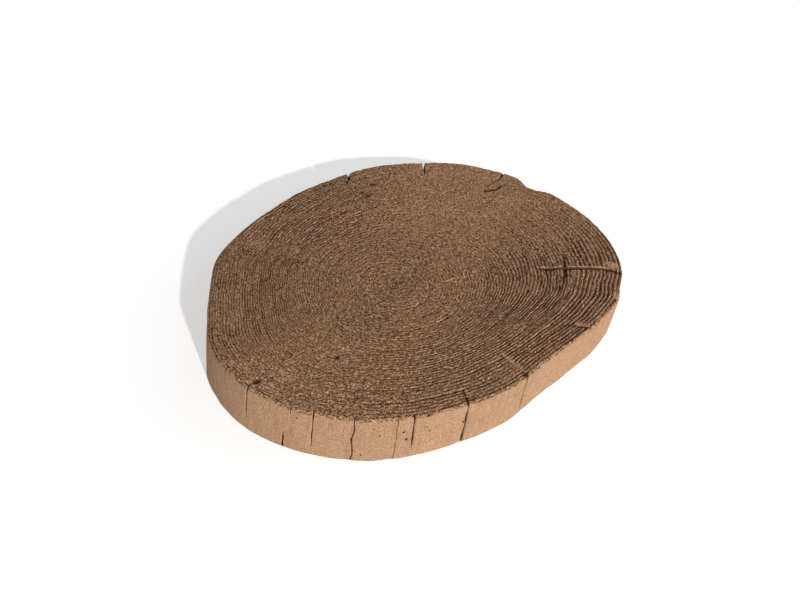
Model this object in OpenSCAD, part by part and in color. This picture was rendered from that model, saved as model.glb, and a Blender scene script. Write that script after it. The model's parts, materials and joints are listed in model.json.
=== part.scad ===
// Garden stepping stone: one cast concrete slab shaped like a slice sawn from a log.
// The origin is at the middle of the foot, on the ground. X runs along the long axis
// and Z points up. Bearings are degrees counter-clockwise from X, seen from above.

/* [Slab] */
// Length at the foot, along the long axis
stone_length = 432; // [340:4:560]
// Width at the foot, across the long axis
stone_width = 324; // [260:4:420]
// Thickness from the ground to the top face
stone_thickness = 40; // [30:1:70]

/* [Bay] */
// Bearing of the bay in the outline, where the log had a fold in its bark
bay_bearing = 11.5; // [0:0.5:359]
// How far the bay runs in from the oval outline
bay_depth = 12; // [0:0.5:16]
// Spread of the bay to either side, in degrees
bay_spread = 3.6; // [3:0.2:12]

/* [Edges] */
// Lean of the cast wall from upright, in degrees
wall_lean = 5; // [0:0.5:9]
// Radius of the worn edge between the wall and the top face
rim_radius = 4; // [1:0.5:8]
// Chamfer around the foot
foot_chamfer = 1; // [0.5:0.25:3]

/* [Growth rings] */
// Place of the pith along the long axis, from the middle
pith_along = -51; // [-70:1:-20]
// Place of the pith across the long axis, from the middle
pith_across = -23; // [-40:1:10]
// Number of main growth rings from the pith to the rim
ring_count = 12; // [6:1:14]
// Width of the groove between two main rings
ring_groove_width = 4; // [2:0.5:6]
// Depth of that groove below the top face
ring_groove_depth = 1.6; // [0.4:0.2:3]

/* [Rim split] */
// Bearing of the open split in the rim
split_bearing = 49; // [0:1:359]
// Width of the split where it opens at the wall
split_mouth = 3; // [2:0.5:8]
// How far the split runs in from the wall
split_reach = 26; // [8:1:40]
// How far the split runs down from the top face
split_depth = 26; // [8:1:29]

/* [Long crack] */
// Bearing at which the long crack leaves the rim
long_crack_bearing = 322; // [0:1:359]
// Length of the long crack over the top face
long_crack_length = 80; // [40:2:110]
// Width of the long crack at the rim
long_crack_width = 2.4; // [1:0.2:5]
// Depth of the long crack below the top face
long_crack_depth = 4; // [1:0.5:10]
// Sideways bow of the long crack
long_crack_bow = 9; // [0:0.5:14]

/* [Short crack] */
// Bearing at which the short crack leaves the rim
short_crack_bearing = 293; // [0:1:359]
// Length of the short crack over the top face
short_crack_length = 27; // [10:1:40]

/* [Step crack] */
// Bearing at which the thin crack beside the bay leaves the rim
step_crack_bearing = 22; // [0:1:359]
// Length of that crack over the top face
step_crack_length = 46; // [20:1:60]
// Sideways bow of that crack
step_crack_bow = 4; // [0:0.5:8]

/* [Ring shake] */
// Length of the gap between two growth rings that the long crack crosses
shake_length = 84; // [40:2:100]
// Width of that gap where it is widest
shake_width = 2.2; // [1:0.2:4]
// Depth of that gap below the top face
shake_depth = 4; // [1:0.5:10]
// Sideways bow of that gap
shake_bow = 5; // [0:0.5:10]

/* [Wall cracks] */
// Width of an open wall crack at the wall
open_crack_width = 1.6; // [0.8:0.1:3]
// Width of a fine wall crack at the wall
fine_crack_width = 0.9; // [0.5:0.1:2]
// How far a wall crack cuts into the wall
wall_crack_bite = 5; // [2:0.5:10]
// How far the longest wall crack carries on over the top face
wall_crack_top_reach = 18; // [6:1:30]
// Depth of a wall crack where it carries on over the top face
wall_crack_top_depth = 3; // [1:0.5:8]

/* [Rim chips] */
// Width of the largest rim chip
chip_width = 5; // [2:0.5:10]
// How far the largest chip reaches in from the wall
chip_reach = 14; // [4:0.5:20]
// Depth of the largest chip below the top face
chip_depth = 6; // [3:0.5:16]

/* [Hidden] */

// Straight sides around the outline, around a growth ring and over the quarter turn of the rim
OUTLINE_STEPS = 180;
RING_STEPS = 90;
RIM_STEPS = 4;
// Shares of the way from the pith to the rim at which rings have the rim's own shape, and
// beyond which they bend with the bay too
RIM_SHAPED_FROM = 0.85;
BAY_SHAPED_FROM = 0.7;
// How far a cutting shape stands clear of the face it starts from
CLEAR = 3;

// Outline of the foot without its bay, as bearing and reach from the middle
foot_knots = [
    [0, 218], [16, 218], [26, 213], [38, 205], [52, 188], [70, 173], [88, 159.5], [104, 156],
    [122, 158], [140, 170.5], [152, 182.5], [164, 189.5], [174, 199.5], [183, 211],
    [196, 215.5], [208, 210], [222, 198.5], [240, 178.5], [256, 167], [270, 158.5],
    [286, 161.5], [304, 178.5], [311, 187.5], [317, 192], [324, 201], [336, 211], [350, 217]
];

// Cracks down the wall: bearing, open or fine, start and end as shares of the thickness
// below the top face, and reach over the top face as a share of the longest one's
OPEN = 1;
FINE = 0;
wall_cracks = [
    [196, FINE, 0, 0.65, 0.3],
    [204, OPEN, 0.7, 1, 0],
    [209, FINE, 0, 0.8, 0.2],
    [217, FINE, 0, 1, 0.3],
    [225, FINE, 0, 1, 0],
    [228, OPEN, 0, 0.9, 0.6],
    [241, OPEN, 0, 1, 1],
    [260, FINE, 0, 1, 0.3],
    [294, FINE, 0, 0.6, 0]
];

// Chips in the rim: bearing, and size as a share of the largest chip
rim_chips = [[82, 1], [196, 0.6], [260, 0.4]];

// Turn of the long crack from the rim's own outward direction
long_crack_turn = 8;
// Share of the long crack's length at which the ring gap crosses it
shake_place = 0.64;
// Share of the ring gap's own length that lies beyond the long crack
shake_share = 0.38;
// Turn of the ring gap from the long crack's run
shake_turn = 67;

// Cubic through the knots around the closed outline
function knot_at(i) =
    let (n = len(foot_knots), turns = floor(i / n), k = foot_knots[i - turns * n])
    [k[0] + 360 * turns, k[1]];
function knot_slope(i) =
    (knot_at(i + 1)[1] - knot_at(i - 1)[1]) / (knot_at(i + 1)[0] - knot_at(i - 1)[0]);
function cubic(t, a, b, slope_a, slope_b) =
    (2 * t ^ 3 - 3 * t ^ 2 + 1) * a + (t ^ 3 - 2 * t ^ 2 + t) * slope_a
    + (3 * t ^ 2 - 2 * t ^ 3) * b + (t ^ 3 - t ^ 2) * slope_b;
function knot_before(bearing) = len([for (k = foot_knots) if (k[0] <= bearing) k]) - 1;
function plain_reach(bearing) =
    let (
        turned = bearing - 360 * floor(bearing / 360),
        i = knot_before(turned),
        span = knot_at(i + 1)[0] - knot_at(i)[0],
        t = (turned - knot_at(i)[0]) / span
    )
    cubic(t, knot_at(i)[1], knot_at(i + 1)[1], knot_slope(i) * span, knot_slope(i + 1) * span);

// The bay is cut from that line, with its depth in the measure of the knots
outline_bearings = [for (i = [0 : OUTLINE_STEPS - 1]) 360 * i / OUTLINE_STEPS];
plain_x = [for (bearing = outline_bearings) plain_reach(bearing) * cos(bearing)];
knot_measure = (max(plain_x) - min(plain_x)) / stone_length;
function bay_cut(bearing) =
    let (away = bearing - bay_bearing, turned = away - 360 * round(away / 360))
    bay_depth * knot_measure * exp(-(turned / bay_spread) ^ 2);
function raw_point(bearing, bay = 1) =
    (plain_reach(bearing) - bay * bay_cut(bearing)) * [cos(bearing), sin(bearing)];

// The raw outline is moved and stretched so that its box is the stated length by width
raw_outline = [for (bearing = outline_bearings) raw_point(bearing)];
raw_low = [min([for (p = raw_outline) p[0]]), min([for (p = raw_outline) p[1]])];
raw_high = [max([for (p = raw_outline) p[0]]), max([for (p = raw_outline) p[1]])];
raw_middle = (raw_low + raw_high) / 2;
stretch = [
    stone_length / (raw_high[0] - raw_low[0]),
    stone_width / (raw_high[1] - raw_low[1])
];
function foot_point(bearing, bay = 1) =
    let (p = raw_point(bearing, bay) - raw_middle)
    [p[0] * stretch[0], p[1] * stretch[1]];
function outward(bearing, bay = 1) =
    let (
        step = 360 / OUTLINE_STEPS,
        run = foot_point(bearing + step, bay) - foot_point(bearing - step, bay)
    )
    [run[1], -run[0]] / norm(run);
function inset_point(bearing, inset, bay = 1) =
    foot_point(bearing, bay) - inset * outward(bearing, bay);

// Section of the edge as height and inset from the widest line, from the ground up
lean_end_height = stone_thickness - rim_radius * (1 - sin(wall_lean));
wall_inset = (lean_end_height - foot_chamfer) * tan(wall_lean);
edge_section = concat(
    [[0, foot_chamfer], [foot_chamfer, 0]],
    [for (i = [0 : RIM_STEPS])
        let (turn = wall_lean + (90 - wall_lean) * i / RIM_STEPS)
        [
            stone_thickness - rim_radius * (1 - sin(turn)),
            wall_inset + rim_radius * (cos(wall_lean) - cos(turn))
        ]
    ]
);

// Growth rings: round about the pith, and more like the rim the farther out they lie
pith = [pith_along, pith_across];
rim_inset = edge_section[len(edge_section) - 1][1];
function rim_run(bearing, bay = 1) = inset_point(bearing, rim_inset, bay) - pith;
ring_bearings = [for (i = [0 : RING_STEPS - 1]) 360 * i / RING_STEPS];
rim_reaches = [for (bearing = ring_bearings) norm(rim_run(bearing))];
round_reach = rim_reaches * [for (reach = rim_reaches) 1] / RING_STEPS;
function rim_likeness(share) =
    let (t = min(share / RIM_SHAPED_FROM, 1))
    t * t * (3 - 2 * t);
function bay_likeness(share) = max(0, (share - BAY_SHAPED_FROM) / (1 - BAY_SHAPED_FROM));
function ring_point(share, bearing, offset) =
    let (
        run = rim_run(bearing, bay_likeness(share)),
        likeness = rim_likeness(share),
        reach = share * norm(run) ^ likeness * round_reach ^ (1 - likeness)
    )
    pith + (reach + offset) * run / norm(run);

// Rows of the top face from the rim inwards, as ring share, offset and depth: both edges and
// the bottom of the groove outside each ring
half_groove = ring_groove_width / 2;
ring_rows = [
    for (ring = [ring_count - 1 : -1 : 1])
    each [
        [ring / ring_count, half_groove, 0],
        [ring / ring_count, 0, ring_groove_depth],
        [ring / ring_count, -half_groove, 0]
    ]
];

// Slab without its cracks: lofted from the ground up to the rim, then in to the pith
module slab_body() {
    edge_points = [
        for (level = edge_section)
        for (bearing = outline_bearings)
        let (p = inset_point(bearing, level[1]))
        [p[0], p[1], level[0]]
    ];
    ring_points = [
        for (row = ring_rows)
        for (bearing = ring_bearings)
        let (p = ring_point(row[0], bearing, row[1]))
        [p[0], p[1], stone_thickness - row[2]]
    ];
    middles = [[0, 0, 0], [pith[0], pith[1], stone_thickness]];
    rim_start = len(edge_points) - OUTLINE_STEPS;
    ring_start = len(edge_points);
    last_ring = ring_start + len(ring_points) - RING_STEPS;
    foot_middle = ring_start + len(ring_points);
    top_middle = foot_middle + 1;
    stride = OUTLINE_STEPS / RING_STEPS;

    function next(i, steps) = (i + 1) % steps;
    function band(low, high, steps) = [
        for (i = [0 : steps - 1])
        each [
            [low + i, high + i, high + next(i, steps)],
            [low + i, high + next(i, steps), low + next(i, steps)]
        ]
    ];
    foot_faces = [for (i = [0 : OUTLINE_STEPS - 1]) [foot_middle, i, next(i, OUTLINE_STEPS)]];
    edge_faces = [
        for (low = [0 : OUTLINE_STEPS : rim_start - 1])
        each band(low, low + OUTLINE_STEPS, OUTLINE_STEPS)
    ];
    rim_faces = [
        for (i = [0 : OUTLINE_STEPS - 1])
        [rim_start + i, ring_start + floor((i + 1) / stride) % RING_STEPS,
            rim_start + next(i, OUTLINE_STEPS)]
    ];
    first_ring_faces = [
        for (i = [0 : RING_STEPS - 1])
        [rim_start + stride * (i + 1) - 1, ring_start + i, ring_start + next(i, RING_STEPS)]
    ];
    ring_faces = [
        for (low = [ring_start : RING_STEPS : last_ring - 1])
        each band(low, low + RING_STEPS, RING_STEPS)
    ];
    pith_faces = [
        for (i = [0 : RING_STEPS - 1])
        [top_middle, last_ring + next(i, RING_STEPS), last_ring + i]
    ];
    polyhedron(
        concat(edge_points, ring_points, middles),
        concat(foot_faces, edge_faces, rim_faces, first_ring_faces, ring_faces, pith_faces)
    );
}

// Puts its children at the top of the wall, with X pointing out and Z up
module at_rim(bearing, turn = 0) {
    place = inset_point(bearing, wall_inset);
    out = outward(bearing);
    translate([place[0], place[1], stone_thickness])
        rotate([0, 0, atan2(out[1], out[0]) + turn])
            children();
}

// Wedge that is as wide as its mouth at the wall and pointed at its inner end
module wedge(mouth, reach, depth) {
    open_width = mouth * (reach + rim_radius) / reach;
    translate([0, 0, -depth])
        linear_extrude(depth + CLEAR)
            polygon([[-reach, 0], [rim_radius, -open_width / 2], [rim_radius, open_width / 2]]);
}

// Crack down the wall, with its start and end as shares of the thickness
module wall_crack(bearing, width, start, end) {
    start_cut = start > 0 ? start * stone_thickness : -CLEAR;
    end_cut = end < 1 ? end * stone_thickness : stone_thickness + CLEAR;
    at_rim(bearing)
        rotate([0, -wall_lean, 0])
            translate([0, 0, -start_cut - CLEAR])
                wedge(width, wall_crack_bite, end_cut - start_cut - CLEAR);
}

// Slot along a path of places and widths, pointed at its last place
module slot(path, depth) {
    one_side = [for (p = path) [p[0], p[1] + p[2] / 2]];
    other_side = [for (i = [len(path) - 2 : -1 : 0]) [path[i][0], path[i][1] - path[i][2] / 2]];
    translate([0, 0, -depth])
        linear_extrude(depth + CLEAR)
            polygon(concat(one_side, other_side));
}

// Crack that starts at the rim, narrows to nothing and bows sideways on its way in
module bowed_crack(length, width, depth, bow) {
    path = [
        [rim_radius, 0, width], [-0.12 * length, 0.75 * bow, width],
        [-0.55 * length, bow, 0.8 * width], [-length, 0, 0]
    ];
    slot(path, depth);
}

// Gap between two growth rings, nearly closed at one end and pointed at the other
module ring_shake() {
    closed_end = 0.1 * shake_width;
    path = [
        [shake_share * shake_length, 0, closed_end], [0, 0.9 * shake_bow, shake_width / 2],
        [-0.2 * shake_length, shake_bow, shake_width],
        [-0.42 * shake_length, 0.7 * shake_bow, shake_width / 2],
        [-(1 - shake_share) * shake_length, 0, 0]
    ];
    translate([-shake_place * long_crack_length, 0, 0])
        rotate([0, 0, shake_turn])
            slot(path, shake_depth);
}

module stepping_stone() {
    color("tan")
        difference() {
            slab_body();
            at_rim(split_bearing)
                wedge(split_mouth, split_reach, split_depth);
            at_rim(long_crack_bearing, long_crack_turn) {
                bowed_crack(long_crack_length, long_crack_width, long_crack_depth, long_crack_bow);
                ring_shake();
            }
            at_rim(short_crack_bearing)
                bowed_crack(short_crack_length, fine_crack_width, wall_crack_top_depth, 0);
            at_rim(step_crack_bearing)
                bowed_crack(
                    step_crack_length, fine_crack_width, wall_crack_top_depth, step_crack_bow
                );
            for (crack = wall_cracks) {
                width = crack[1] == OPEN ? open_crack_width : fine_crack_width;
                wall_crack(crack[0], width, crack[2], crack[3]);
                if (crack[4] > 0)
                    at_rim(crack[0])
                        wedge(width, crack[4] * wall_crack_top_reach, wall_crack_top_depth);
            }
            for (chip = rim_chips)
                at_rim(chip[0])
                    wedge(chip_width * chip[1], chip_reach * chip[1], chip_depth * chip[1]);
        }
}

stepping_stone();
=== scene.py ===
"""Garden stepping stone, cast in pigmented concrete to look like a slice sawn from a log.

The stone is one closed surface. Its top carries the growth rings, grain, cracks and chips of
the log as real relief, its wall the drying cracks and pores of the casting. Lengths inside the
classes are millimetres in the frame of the solid, and turn into metres when a mesh is made.
"""

import json
import logging
from dataclasses import dataclass, field
from enum import Enum

import bpy
import numpy as np
from mathutils import Matrix, Vector

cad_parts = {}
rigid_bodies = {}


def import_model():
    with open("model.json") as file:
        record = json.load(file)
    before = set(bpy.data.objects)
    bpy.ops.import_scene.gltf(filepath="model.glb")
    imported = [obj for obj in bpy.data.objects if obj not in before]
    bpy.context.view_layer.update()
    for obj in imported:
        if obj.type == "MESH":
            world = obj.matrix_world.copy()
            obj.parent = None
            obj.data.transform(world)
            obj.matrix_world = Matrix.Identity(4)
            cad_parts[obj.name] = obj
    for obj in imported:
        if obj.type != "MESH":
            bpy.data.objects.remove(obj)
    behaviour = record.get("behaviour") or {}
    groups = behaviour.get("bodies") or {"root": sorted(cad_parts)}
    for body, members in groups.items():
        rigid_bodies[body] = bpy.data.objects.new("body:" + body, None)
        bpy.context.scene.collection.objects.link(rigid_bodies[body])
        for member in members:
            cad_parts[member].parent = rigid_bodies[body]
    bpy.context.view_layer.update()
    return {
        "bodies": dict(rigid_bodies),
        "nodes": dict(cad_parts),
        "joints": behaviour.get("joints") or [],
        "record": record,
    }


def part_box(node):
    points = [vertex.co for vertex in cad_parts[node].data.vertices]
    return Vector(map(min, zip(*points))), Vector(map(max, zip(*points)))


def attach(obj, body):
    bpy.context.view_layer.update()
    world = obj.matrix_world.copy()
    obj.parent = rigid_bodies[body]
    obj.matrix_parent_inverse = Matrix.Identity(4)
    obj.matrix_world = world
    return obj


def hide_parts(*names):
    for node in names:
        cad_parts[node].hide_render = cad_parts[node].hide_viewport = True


log = logging.getLogger("stepping_stone")

MM = 0.001
FULL_TURN = 2.0 * np.pi
SLAB_NODE = "stepping_stone"
LATTICE = 1024
NOISE_GAIN = 1.5
LAYER_SHIFT = (17.3, -9.1)
LEAST_HALF_WIDTH = 0.05

Array = np.ndarray
Socket = bpy.types.NodeSocket
Point = tuple[float, float]
Triple = tuple[float, float, float]


def smooth_step(low: float, high: float, value: Array) -> Array:
    """Rise from 0 to 1 between low and high along a cubic with flat ends."""
    share = np.clip((value - low) / (high - low), 0.0, 1.0)
    return share * share * (3.0 - 2.0 * share)


def turned(angle: Array) -> Array:
    """Bring angles in radians to between minus pi and pi."""
    return (angle + np.pi) % FULL_TURN - np.pi


def hill(x: Array, y: Array, place: Point, spread: Point, turn: float = 0.0) -> Array:
    """Bell of height 1: e to minus half the squared distance, counted in spreads.

    Args:
        x: Places along the stone.
        y: Places across the stone.
        place: Middle of the bell.
        spread: Spread along and across the bell's own axes.
        turn: Turn of the bell's long axis from X, in degrees.

    Returns:
        Height of the bell at each place.
    """
    angle = np.radians(turn)
    away_x, away_y = x - place[0], y - place[1]
    along = away_x * np.cos(angle) + away_y * np.sin(angle)
    across = away_y * np.cos(angle) - away_x * np.sin(angle)
    return np.exp(-0.5 * ((along / spread[0]) ** 2 + (across / spread[1]) ** 2))


class GradientNoise:
    """Seeded noise: each lattice corner has a random slope, and cells blend their four."""

    def __init__(self, seed: int, wrap: int = 0) -> None:
        """Draw the random slopes.

        Args:
            seed: Seed of the random slopes.
            wrap: Cells after which the second coordinate repeats, or 0 for never.
        """
        dice = np.random.default_rng(seed)
        self._order = dice.permutation(LATTICE)
        angle = dice.random(LATTICE) * FULL_TURN
        self._slope_u, self._slope_v = np.cos(angle), np.sin(angle)
        self._wrap = wrap

    def _corner(self, cell_u: Array, cell_v: Array, part_u: Array, part_v: Array) -> Array:
        """Height that one corner's slope gives: slope times offset, for both coordinates.

        Args:
            cell_u: Corner's first whole number.
            cell_v: Corner's second whole number.
            part_u: Offset from the corner in the first coordinate.
            part_v: Offset from the corner in the second coordinate.

        Returns:
            Height at each offset.
        """
        if self._wrap:
            cell_v = cell_v % self._wrap
        row = self._order[cell_u % LATTICE]
        pick = self._order[(row + cell_v) % LATTICE]
        return self._slope_u[pick] * part_u + self._slope_v[pick] * part_v

    def at(self, u: Array, v: Array) -> Array:
        """Noise between about -1 and 1: four corner heights, blended with a quintic.

        Args:
            u: First coordinate, in cells.
            v: Second coordinate, in cells.

        Returns:
            Noise at each place.
        """
        cell_u, cell_v = np.floor(u).astype(np.int64), np.floor(v).astype(np.int64)
        part_u, part_v = u - cell_u, v - cell_v
        ease_u, ease_v = (
            part**3 * (part * (6.0 * part - 15.0) + 10.0) for part in (part_u, part_v)
        )
        near, far = (
            self._corner(cell_u, cell_v + side, part_u, part_v - side) * (1.0 - ease_u)
            + self._corner(cell_u + 1, cell_v + side, part_u - 1.0, part_v - side) * ease_u
            for side in (0, 1)
        )
        return NOISE_GAIN * (near * (1.0 - ease_v) + far * ease_v)


@dataclass(frozen=True)
class PlaneNoise:
    """Noise over the plane, by the size of its cells and its height, in millimetres."""

    seed: int
    size: float
    height: float = 1.0
    layers: int = 1

    def over(self, x: Array, y: Array) -> Array:
        """Noise over the plane, with each layer half the size and height of the one before.

        Args:
            x: Places along the stone.
            y: Places across the stone.

        Returns:
            Sum of the layers over the sum of their heights, times the height.
        """
        noise = GradientNoise(self.seed)
        total, height, reach = np.zeros_like(x), 1.0, 0.0
        for layer in range(self.layers):
            cell = self.size / 2.0**layer
            total += height * noise.at(
                x / cell + LAYER_SHIFT[0] * layer, y / cell + LAYER_SHIFT[1] * layer
            )
            reach += height
            height *= 0.5
        return self.height * (total / reach)


@dataclass(frozen=True)
class RingNoise:
    """Noise that follows the rings, by its cells in a turn and in the step to the next ring."""

    seed: int
    around: int
    per_ring: float
    height: float = 1.0

    def along(self, count: Array, turns: Array) -> Array:
        """Noise times the height, at each ring count and turn about the pith."""
        noise = GradientNoise(self.seed, self.around)
        return self.height * noise.at(count * self.per_ring, turns * self.around)


@dataclass(frozen=True)
class WallNoise:
    """Noise over the wall that closes around the stone, by the width and rise of its cells."""

    seed: int
    width: float
    rise: float
    height: float

    def at(self, arc: Array, girth: float, level: Array) -> Array:
        """Noise times the height, at each distance along the outline and level."""
        cells = int(girth / self.width)
        noise = GradientNoise(self.seed, cells)
        return self.height * noise.at(level / self.rise, arc / girth * cells)


@dataclass(frozen=True)
class FootLine:
    """Closed outline of the slab where it is widest, as reach from the middle by bearing."""

    reaches: Array

    @classmethod
    def from_solid(
        cls,
        node: bpy.types.Object,
        steps: int = 180,
        band: Point = (0.2, 2.0),
        same_place: float = 0.01,
        side_gap: float = 0.25,
        tip_depth: float = 1.5,
    ) -> "FootLine":
        """Read the outline off the solid's lowest wall points.

        Cracks only cut inwards. A point that lies deeper than the outline a quarter step to
        both sides of it is the tip of a crack, and is left out.

        Args:
            node: The solid's object.
            steps: Evenly spaced bearings around the outline.
            band: Heights between which a point belongs to the outline.
            same_place: Steps within which points are one, of which the farthest counts.
            side_gap: How far to each side a point is compared, in steps.
            tip_depth: How much deeper than both sides a crack's tip is.

        Returns:
            The outline.
        """
        points = np.empty(len(node.data.vertices) * 3)
        node.data.vertices.foreach_get("co", points)
        points = points.reshape(-1, 3) / MM
        foot = points[(points[:, 2] > band[0]) & (points[:, 2] < band[1])]
        reach = np.hypot(foot[:, 0], foot[:, 1])
        turn = np.arctan2(foot[:, 1], foot[:, 0]) % FULL_TURN / FULL_TURN * steps
        order = np.argsort(turn)
        groups = np.flatnonzero(np.diff(turn[order], prepend=-1.0) > same_place)
        envelope = np.maximum.reduceat(reach[order], groups)
        places = turn[order][groups]
        before, after = (
            np.interp(places + side * side_gap, places, envelope, period=steps)
            for side in (-1.0, 1.0)
        )
        whole = envelope > np.minimum(before, after) - tip_depth
        even = np.arange(steps, dtype=float)
        return cls(np.interp(even, places[whole], envelope[whole], period=steps))

    def without_bays(self, span: int = 6) -> "FootLine":
        """Outline whose bays are bridged by the mean of the two points span steps away."""
        bridge = 0.5 * (np.roll(self.reaches, span) + np.roll(self.reaches, -span))
        return FootLine(np.maximum(self.reaches, bridge))

    def reach(self, bearing: Array) -> Array:
        """Reach at any bearing, from a cubic through the four nearest outline points.

        Args:
            bearing: Bearings in radians.

        Returns:
            Distance from the middle at each bearing.
        """
        steps = len(self.reaches)
        place = (bearing % FULL_TURN) / FULL_TURN * steps
        start = np.floor(place).astype(np.int64)
        share = place - start
        before, here, after, beyond = (self.reaches[(start + k) % steps] for k in (-1, 0, 1, 2))
        slope = 0.5 * (after - before)
        bend = before - 2.5 * here + 2.0 * after - 0.5 * beyond
        curl = 0.5 * (beyond - before) + 1.5 * (here - after)
        return here + share * (slope + share * (bend + share * curl))

    def point(self, bearing: Array) -> Array:
        """Outline point at each bearing, as rows of X and Y."""
        reach = self.reach(bearing)
        return np.stack([reach * np.cos(bearing), reach * np.sin(bearing)], axis=-1)

    def outward(self, bearing: Array) -> Array:
        """Outward unit direction: the run between the points one step away, turned right.

        Args:
            bearing: Bearings in radians.

        Returns:
            Direction at each bearing, as rows of X and Y.
        """
        step = FULL_TURN / len(self.reaches)
        run = self.point(bearing + step) - self.point(bearing - step)
        normal = np.stack([run[..., 1], -run[..., 0]], axis=-1)
        return normal / np.linalg.norm(normal, axis=-1, keepdims=True)


@dataclass(frozen=True)
class EdgeSection:
    """Section of the slab's edge, from the end of the top face down to the foot."""

    thickness: float
    lean: float = 5.0
    rim_radius: float = 4.0
    foot_chamfer: float = 1.0
    foot_slant: float = 0.7
    rim_rows: int = 5
    wall_rows: int = 12

    def rows(self) -> Array:
        """Work out the section.

        A quarter turn of the rim radius runs from the flat top to the leaning wall, then the
        wall runs straight down to the chamfer at the foot.

        Returns:
            Rows of height, inset, outward share and upward share of the surface's direction.
        """
        lean = np.radians(self.lean)
        low_end = self.thickness - self.rim_radius * (1.0 - np.sin(lean))
        wall_inset = (low_end - self.foot_chamfer) * np.tan(lean)
        turn = np.linspace(np.pi / 2.0, lean, self.rim_rows + 1)
        rim_height = self.thickness - self.rim_radius * (1.0 - np.sin(turn))
        rim_inset = wall_inset + self.rim_radius * (np.cos(lean) - np.cos(turn))
        rim = np.stack([rim_height, rim_inset, np.cos(turn), np.sin(turn)], axis=-1)
        share = np.linspace(0.0, 1.0, self.wall_rows + 1)[1:]
        wall_height = low_end + (self.foot_chamfer - low_end) * share
        sides = [np.full_like(share, part) for part in (np.cos(lean), np.sin(lean))]
        wall = np.stack([wall_height, wall_inset * (1.0 - share), *sides], axis=-1)
        foot = np.array([[0.0, self.foot_chamfer, self.foot_slant, -self.foot_slant]])
        return np.concatenate([rim, wall, foot])


@dataclass(frozen=True)
class Furrow:
    """Open line in the surface that follows a path of points over the top face."""

    path: tuple[Point, ...]
    width: tuple[float, float]
    depth: tuple[float, float]
    waver: float = 0.5
    seed: int = 5
    waver_size: float = 6.0
    bank: Point = (0.35, 1.35)

    def measure(self, x: Array, y: Array) -> tuple[Array, Array]:
        """Signed distance to the path and share of its length, for every place.

        The distance is that to the nearest straight piece of the path, positive on its left.

        Args:
            x: Places along the stone.
            y: Places across the stone.

        Returns:
            Signed distance in millimetres, and the share of the path at its nearest point.
        """
        knots = np.array(self.path)
        runs = np.linalg.norm(np.diff(knots, axis=0), axis=1)
        starts = np.concatenate([[0.0], np.cumsum(runs)[:-1]])
        best = np.full(x.shape, np.inf)
        signed, share = np.zeros_like(x), np.zeros_like(x)
        for knot, after, run, start in zip(knots[:-1], knots[1:], runs, starts):
            way = (after - knot) / run
            away_x, away_y = x - knot[0], y - knot[1]
            along = np.clip(away_x * way[0] + away_y * way[1], 0.0, run)
            gap = np.hypot(away_x - along * way[0], away_y - along * way[1])
            nearer = gap < best
            side = np.sign(away_y * way[0] - away_x * way[1])
            best = np.where(nearer, gap, best)
            signed = np.where(nearer, gap * side, signed)
            share = np.where(nearer, (start + along) / runs.sum(), share)
        return signed, share

    def depth_at(self, x: Array, y: Array) -> Array:
        """Depth of the furrow: flat near its middle line, smooth at its banks.

        Args:
            x: Places along the stone.
            y: Places across the stone.

        Returns:
            Depth below the surface, in millimetres.
        """
        signed, share = self.measure(x, y)
        sway = PlaneNoise(self.seed, self.waver_size, self.waver, 2).over(x, y)
        half = 0.5 * (self.width[0] + (self.width[1] - self.width[0]) * share)
        deep = self.depth[0] + (self.depth[1] - self.depth[0]) * share
        half = np.maximum(half, LEAST_HALF_WIDTH)
        return deep * (1.0 - smooth_step(*self.bank, np.abs(signed + sway) / half))


@dataclass(frozen=True)
class WallCrack:
    """Drying crack down the wall, with its start and end as shares of the thickness."""

    bearing: float
    width: float
    start: float
    end: float
    depth: float = 4.0
    waver: float = 0.8
    seed: int = 3
    sway_cells: float = 3.1
    sway_degrees: float = 7.0
    swell: float = 0.6
    swell_cells: float = 4.3
    start_blur: Point = (-0.06, 0.04)
    end_blur: float = 0.25
    least_half: float = 0.1
    bank: Point = (0.3, 1.5)

    def cut(self, offset: Array, below: Array) -> Array:
        """Depth of the crack: flat in its middle, smooth at its banks and its ends.

        Args:
            offset: Distance along the outline from the crack's bearing.
            below: Share of the thickness below the top face.

        Returns:
            Depth into the wall, in millimetres.
        """
        sway = GradientNoise(self.seed).at(
            below * self.sway_cells, np.full_like(below, self.bearing / self.sway_degrees)
        )
        swell = GradientNoise(self.seed + 1).at(
            below * self.swell_cells, np.full_like(below, self.bearing)
        )
        half = 0.5 * self.width * (1.0 + self.swell * swell)
        ends = np.ones_like(below)
        if self.start > 0.0:
            low, high = (self.start + blur for blur in self.start_blur)
            ends = smooth_step(low, high, below)
        if self.end < 1.0:
            ends = ends * (1.0 - smooth_step(self.end - self.end_blur, self.end, below))
        across = np.abs(offset + sway * self.waver) / np.maximum(half, self.least_half)
        return self.depth * ends * (1.0 - smooth_step(*self.bank, across))


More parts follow.
